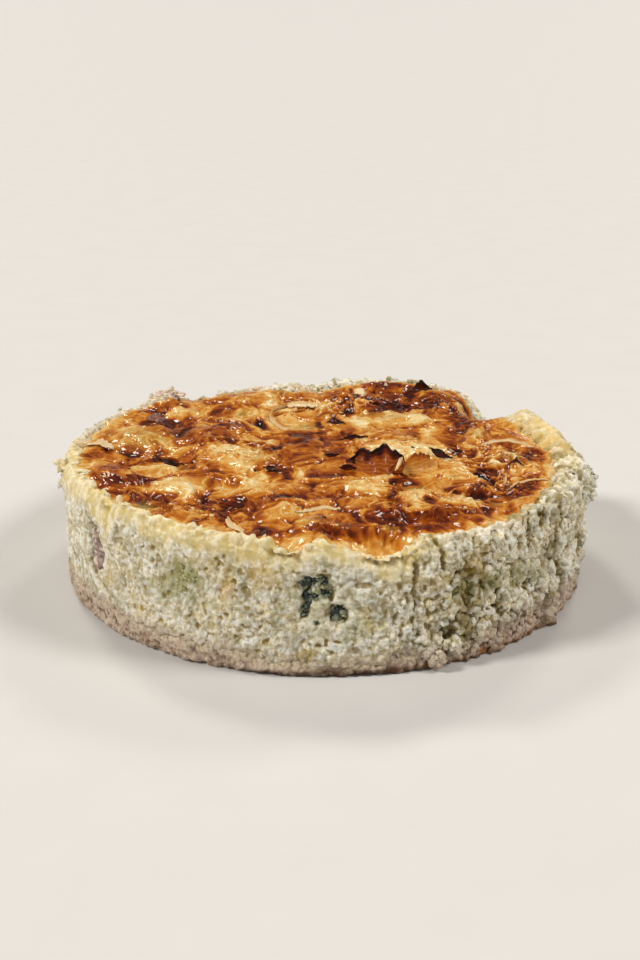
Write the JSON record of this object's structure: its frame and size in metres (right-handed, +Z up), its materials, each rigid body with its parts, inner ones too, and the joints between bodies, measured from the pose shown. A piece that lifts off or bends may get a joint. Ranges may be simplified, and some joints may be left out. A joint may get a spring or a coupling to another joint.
{
  "type": "salmon quiche",
  "caption": "Round single-portion quiche with a thin pressed base, a tall crumbly custard wall, a browned blistered skin, broccoli, salmon and charred leek.",
  "frame": {"origin": "middle of the flat underside of the base, where the quiche rests", "axes": "+Z up through the quiche, -Y towards the viewer of the picture, +X to the viewer's right"},
  "size_m": [0.1262, 0.1263, 0.0341],
  "materials": {
    "custard": "crumbly cream wall under a glossy golden brown skin",
    "pastry": "gritty pinkish brown, darker at the lower edge",
    "broccoli": "beaded dark green",
    "salmon": "moist greyish pink",
    "leek": "moist, translucent, browned at the edges",
    "char": "charred dark brown to black"
  },
  "bodies": {
    "root": {"custard": "custard", "pastry_base": "pastry", "broccoli_front": "broccoli", "broccoli_left": "broccoli", "broccoli_right": "broccoli", "broccoli_scrap": "broccoli", "salmon_left": "salmon", "salmon_rim": "salmon", "salmon_top": "salmon", "leek_leaf_charred": "char", "leek_leaf_back": "char", "leek_leaf_amber": "leek", "leek_ring_back": "leek", "leek_bar_back": "leek", "leek_strip_left": "leek", "leek_strip_front": "leek", "onion_arc_right": "leek", "onion_arc_front": "leek", "onion_back": "leek"}
  },
  "joints": []
}
